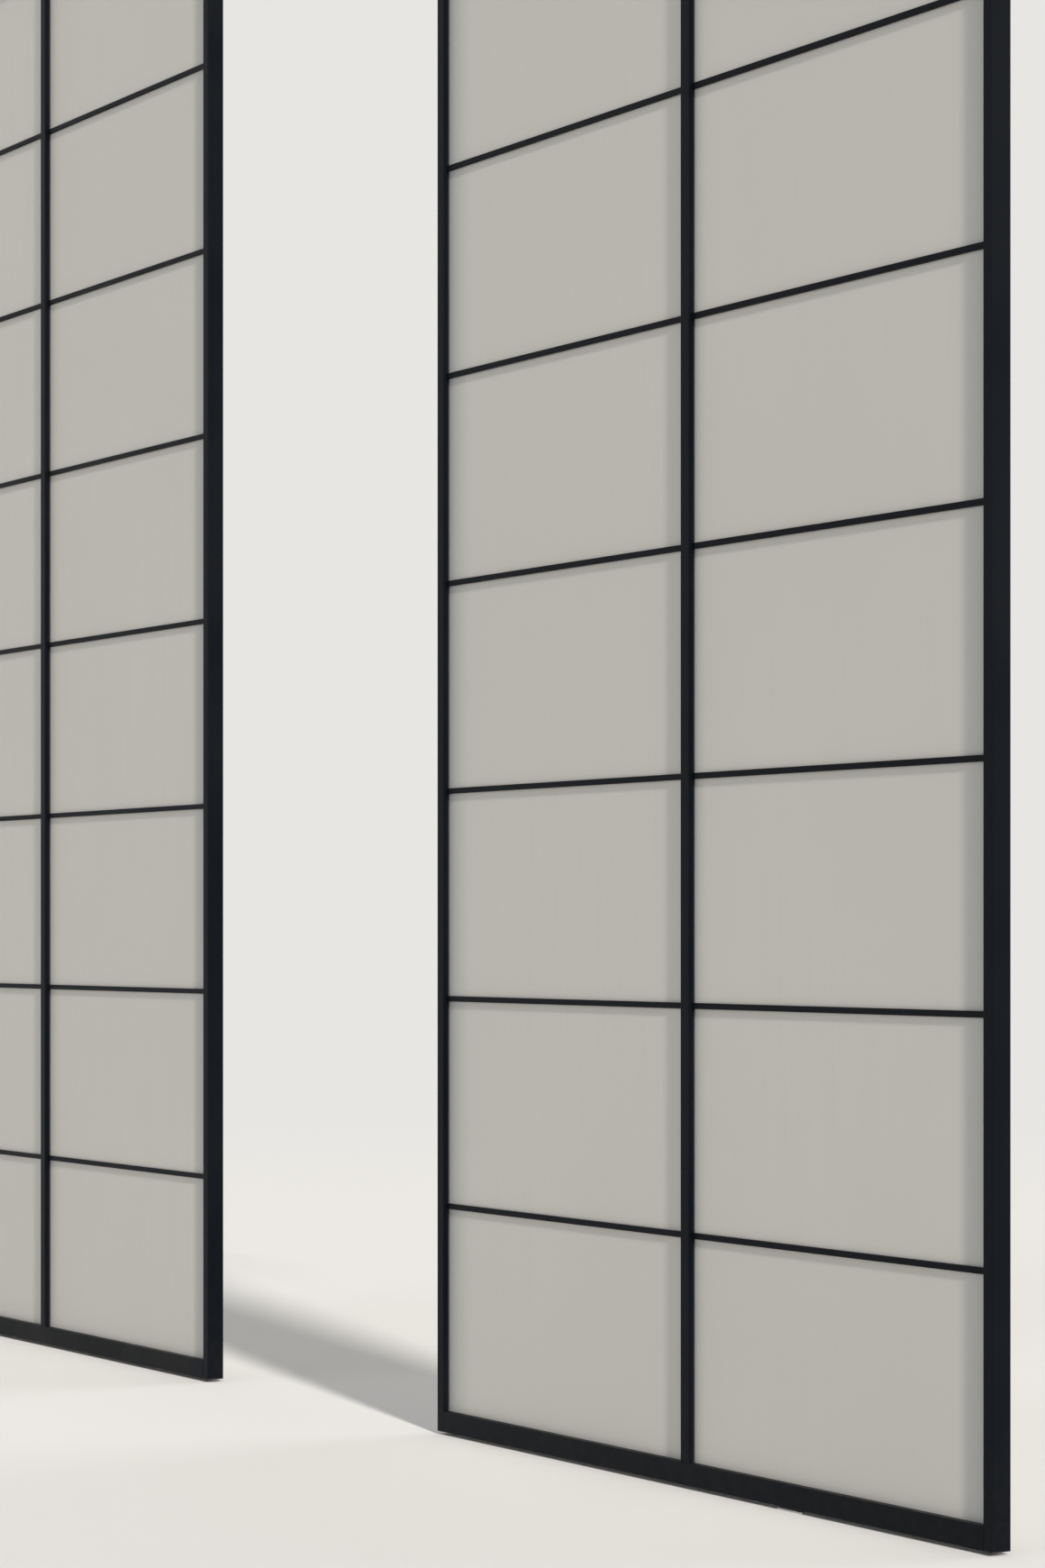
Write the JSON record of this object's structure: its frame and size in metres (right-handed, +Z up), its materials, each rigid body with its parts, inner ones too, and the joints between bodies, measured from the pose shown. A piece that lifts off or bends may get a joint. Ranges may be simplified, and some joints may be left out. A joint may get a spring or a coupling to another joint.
{
  "type": "pair of shoji sliding panels",
  "caption": "Bi-parting pair of tall black-framed sliding panels with translucent panes and shoji-like bars, hung on rollers from a head track and guided at the floor.",
  "frame": {"origin": "floor level under the middle of the opening, in the panels' mid-plane", "axes": "+X along the track to the right, +Y through the panels to the back, +Z up"},
  "size_m": [6.5, 0.046, 3.3295],
  "materials": {
    "frame_black": "satin black coat",
    "paper_glass": "translucent laminate with a paper-like layer, satin",
    "gasket_rubber": "matt black",
    "black_plastic": "moulded",
    "bare_aluminium": "as extruded or cast",
    "steel": "zinc plated",
    "white_nylon": "moulded nylon"
  },
  "bodies": {
    "frame": {"head_track": "frame_black", "stop_blocks": "bare_aluminium", "stop_screws": "steel", "stop_buffers": "gasket_rubber", "floor_guide_plates": "steel", "floor_guide_fins": "white_nylon", "floor_guide_screws": "steel"},
    "left_panel": {"left_panel_left_stile": "frame_black", "left_panel_right_stile": "frame_black", "left_panel_top_rail": "frame_black", "left_panel_bottom_rail": "frame_black", "left_panel_mullion": "frame_black", "left_panel_left_pane": "paper_glass", "left_panel_right_pane": "paper_glass", "left_panel_glazing_gaskets": "gasket_rubber", "left_panel_front_muntins": "frame_black", "left_panel_back_muntins": "frame_black", "left_panel_stile_caps": "black_plastic", "left_panel_corner_brackets": "bare_aluminium", "left_panel_corner_screws": "steel", "left_panel_setting_blocks": "gasket_rubber", "left_panel_mullion_spigots": "bare_aluminium", "left_panel_mullion_screws": "steel", "left_panel_hanger_plates": "steel", "left_panel_hanger_bolts": "steel", "left_panel_lock_nuts": "steel", "left_panel_carriage_bodies": "bare_aluminium", "left_panel_carriage_axles": "steel", "left_panel_wheel_bearings": "steel"},
    "left_wheels_1": {"left_panel_wheels_1": "white_nylon"},
    "left_wheels_2": {"left_panel_wheels_2": "white_nylon"},
    "left_wheels_3": {"left_panel_wheels_3": "white_nylon"},
    "left_wheels_4": {"left_panel_wheels_4": "white_nylon"},
    "right_panel": {"right_panel_left_stile": "frame_black", "right_panel_right_stile": "frame_black", "right_panel_top_rail": "frame_black", "right_panel_bottom_rail": "frame_black", "right_panel_mullion": "frame_black", "right_panel_left_pane": "paper_glass", "right_panel_right_pane": "paper_glass", "right_panel_glazing_gaskets": "gasket_rubber", "right_panel_front_muntins": "frame_black", "right_panel_back_muntins": "frame_black", "right_panel_stile_caps": "black_plastic", "right_panel_corner_brackets": "bare_aluminium", "right_panel_corner_screws": "steel", "right_panel_setting_blocks": "gasket_rubber", "right_panel_mullion_spigots": "bare_aluminium", "right_panel_mullion_screws": "steel", "right_panel_hanger_plates": "steel", "right_panel_hanger_bolts": "steel", "right_panel_lock_nuts": "steel", "right_panel_carriage_bodies": "bare_aluminium", "right_panel_carriage_axles": "steel", "right_panel_wheel_bearings": "steel"},
    "right_wheels_1": {"right_panel_wheels_1": "white_nylon"},
    "right_wheels_2": {"right_panel_wheels_2": "white_nylon"},
    "right_wheels_3": {"right_panel_wheels_3": "white_nylon"},
    "right_wheels_4": {"right_panel_wheels_4": "white_nylon"}
  },
  "joints": [
    {"name": "left_panel_slide", "type": "slide", "parent": "frame", "child": "left_panel", "axis": [1, 0, 0], "range_m": [-1.075, 0.474]},
    {"name": "left_wheels_1_spin", "type": "hinge", "parent": "left_panel", "child": "left_wheels_1", "pos_m": [-1.985, 0, 3.3053], "axis": [0, 1, 0], "continuous": true},
    {"name": "left_wheels_2_spin", "type": "hinge", "parent": "left_panel", "child": "left_wheels_2", "pos_m": [-1.917, 0, 3.3053], "axis": [0, 1, 0], "continuous": true},
    {"name": "left_wheels_3_spin", "type": "hinge", "parent": "left_panel", "child": "left_wheels_3", "pos_m": [-0.689, 0, 3.3053], "axis": [0, 1, 0], "continuous": true},
    {"name": "left_wheels_4_spin", "type": "hinge", "parent": "left_panel", "child": "left_wheels_4", "pos_m": [-0.621, 0, 3.3053], "axis": [0, 1, 0], "continuous": true},
    {"name": "right_panel_slide", "type": "slide", "parent": "frame", "child": "right_panel", "axis": [-1, 0, 0], "range_m": [-1.075, 0.474]},
    {"name": "right_wheels_1_spin", "type": "hinge", "parent": "right_panel", "child": "right_wheels_1", "pos_m": [0.621, 0, 3.3053], "axis": [0, -1, 0], "continuous": true},
    {"name": "right_wheels_2_spin", "type": "hinge", "parent": "right_panel", "child": "right_wheels_2", "pos_m": [0.689, 0, 3.3053], "axis": [0, -1, 0], "continuous": true},
    {"name": "right_wheels_3_spin", "type": "hinge", "parent": "right_panel", "child": "right_wheels_3", "pos_m": [1.917, 0, 3.3053], "axis": [0, -1, 0], "continuous": true},
    {"name": "right_wheels_4_spin", "type": "hinge", "parent": "right_panel", "child": "right_wheels_4", "pos_m": [1.985, 0, 3.3053], "axis": [0, -1, 0], "continuous": true}
  ],
  "couplings": [
    {"joint": "left_wheels_1_spin", "follows": "left_panel_slide", "rad_per_m": 84.746},
    {"joint": "left_wheels_2_spin", "follows": "left_panel_slide", "rad_per_m": 84.746},
    {"joint": "left_wheels_3_spin", "follows": "left_panel_slide", "rad_per_m": 84.746},
    {"joint": "left_wheels_4_spin", "follows": "left_panel_slide", "rad_per_m": 84.746},
    {"joint": "right_wheels_1_spin", "follows": "right_panel_slide", "rad_per_m": 84.746},
    {"joint": "right_wheels_2_spin", "follows": "right_panel_slide", "rad_per_m": 84.746},
    {"joint": "right_wheels_3_spin", "follows": "right_panel_slide", "rad_per_m": 84.746},
    {"joint": "right_wheels_4_spin", "follows": "right_panel_slide", "rad_per_m": 84.746}
  ]
}
